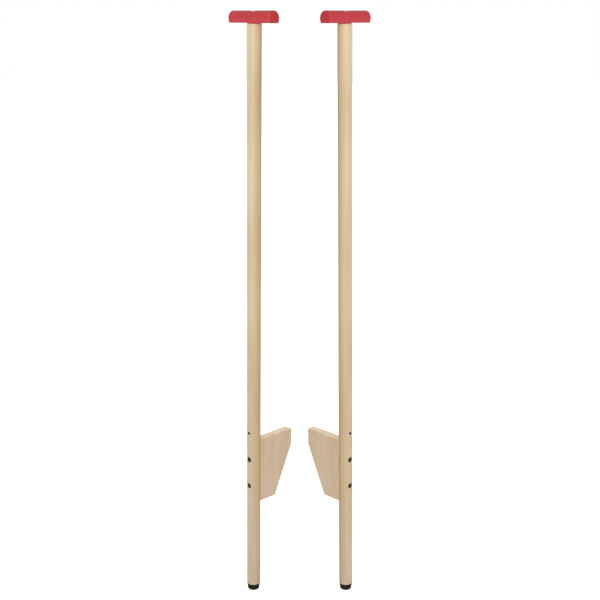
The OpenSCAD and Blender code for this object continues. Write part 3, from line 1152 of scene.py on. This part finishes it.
def add_floor():
    """A plain white floor, wide enough to fill every view."""
    bm = bmesh.new()
    bmesh.ops.create_grid(bm, x_segments=1, y_segments=1, size=FLOOR_HALF)
    mesh = bpy.data.meshes.new("floor")
    bm.to_mesh(mesh)
    bm.free()
    floor = bpy.data.objects.new("floor", mesh)
    bpy.context.scene.collection.objects.link(floor)
    made, tree, shader, _ = material("white_floor")
    shader.inputs["Base Color"].default_value = FLOOR_GREY
    shader.inputs["Roughness"].default_value = FLOOR_ROUGH
    shader.inputs["Emission Color"].default_value = WHITE
    seen = add(tree, "ShaderNodeLightPath").outputs["Is Camera Ray"]
    glow = span(tree, seen, 0, 1, FLOOR_LIGHT, FLOOR_SEEN)
    tree.links.new(glow, shader.inputs["Emission Strength"])
    mesh.materials.append(made)


def add_light(name, pole, pieces, azimuth, power, size, place):
    """A soft lamp that lights some of a stilt's pieces alone. azimuth is taken from the front of
    the pole, and grows to the right."""
    low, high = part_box(pole)
    aim = (low + high) / 2
    aim.z = LAMP_AIM_Z
    height, distance = place
    way = Vector((math.sin(azimuth), -math.cos(azimuth), 0))
    data = bpy.data.lights.new(name, "AREA")
    data.shape = "RECTANGLE"
    data.size, data.size_y = size
    data.energy = power
    lamp = bpy.data.objects.new(name, data)
    lamp.location = aim + way * distance + Vector((0, 0, height - LAMP_AIM_Z))
    lamp.rotation_euler = (lamp.location - aim).to_track_quat("Z", "Y").to_euler()
    lamp.visible_camera = False
    bpy.context.scene.collection.objects.link(lamp)
    receivers = bpy.data.collections.new(name + "_receivers")
    for piece in pieces:
        receivers.objects.link(piece)
    lamp.light_linking.receiver_collection = receivers


def light_stilt(side, sign, pieces):
    """The lamps of one stilt: for its pole with bolts and foot, its grip and its footrest."""
    rests = [piece for piece in pieces if "footrest" in piece.name]
    grips = [piece for piece in pieces if "grip" in piece.name]
    standing = [piece for piece in pieces if piece not in rests]
    rods = [piece for piece in standing if piece not in grips]
    for name, lit, azimuth, power, size, place in (
        ("front", rods, ROD_FRONT_AZIMUTH, ROD_FRONT_POWER, ROD_SIZE, LAMP_PLACE),
        ("flank", rods, ROD_SIDE_AZIMUTH, ROD_SIDE_POWER, ROD_SIZE, LAMP_PLACE),
        ("key", rests, 0, KEY_POWER, KEY_SIZE, LAMP_PLACE),
        ("side", rests, SIDE_AZIMUTH, SIDE_POWER, SIDE_SIZE, LAMP_PLACE),
        ("strip", grips, STRIP_AZIMUTH, STRIP_POWER, STRIP_SIZE, STRIP_PLACE),
        ("back", standing, math.pi, BACK_POWER, BACK_SIZE, BACK_PLACE),
        ("above", rests, 0, ABOVE_POWER, ABOVE_SIZE, ABOVE_PLACE),
        ("behind", rests, math.pi, BEHIND_POWER, BEHIND_SIZE, BEHIND_PLACE),
    ):
        lamp = f"{side}_{name}"
        add_light(lamp, side + "_pole", lit, sign * azimuth, power, size, place)


def add_world():
    """An even white surround."""
    world = bpy.data.worlds.new("surround")
    bpy.context.scene.world = world
    world.use_nodes = True
    tree = world.node_tree
    back = tree.nodes["Background"]
    back.inputs["Color"].default_value = WHITE
    seen = add(tree, "ShaderNodeLightPath").outputs["Is Camera Ray"]
    tree.links.new(span(tree, seen, 0, 1, SURROUND, 1), back.inputs["Strength"])


bpy.context.scene.view_settings.view_transform = "Standard"
add_camera()
skin = skin_group()
beech = beech_group()
finishes = {name: skin_material(name, skin, *look) for name, look in SKINS.items()}
for side, sign in SIDES:
    place = stilt_place(side)
    name = side + "_pole"
    heart = (POLE_HEART, sign * POLE_HEART, 0)
    finishes[name] = wood_material(name + "_wood", place, heart, beech)
    name = side + "_footrest"
    heart = (FOOTREST_HEART[0], -sign * FOOTREST_HEART[1], 0)
    finishes[name] = wood_material(name + "_wood", place, heart, beech, FOOTREST_TONE)
stilts = {side: add_stilt(side, finishes) for side, sign in SIDES}
add_floor()
add_world()
for side, sign in SIDES:
    light_stilt(side, sign, stilts[side])
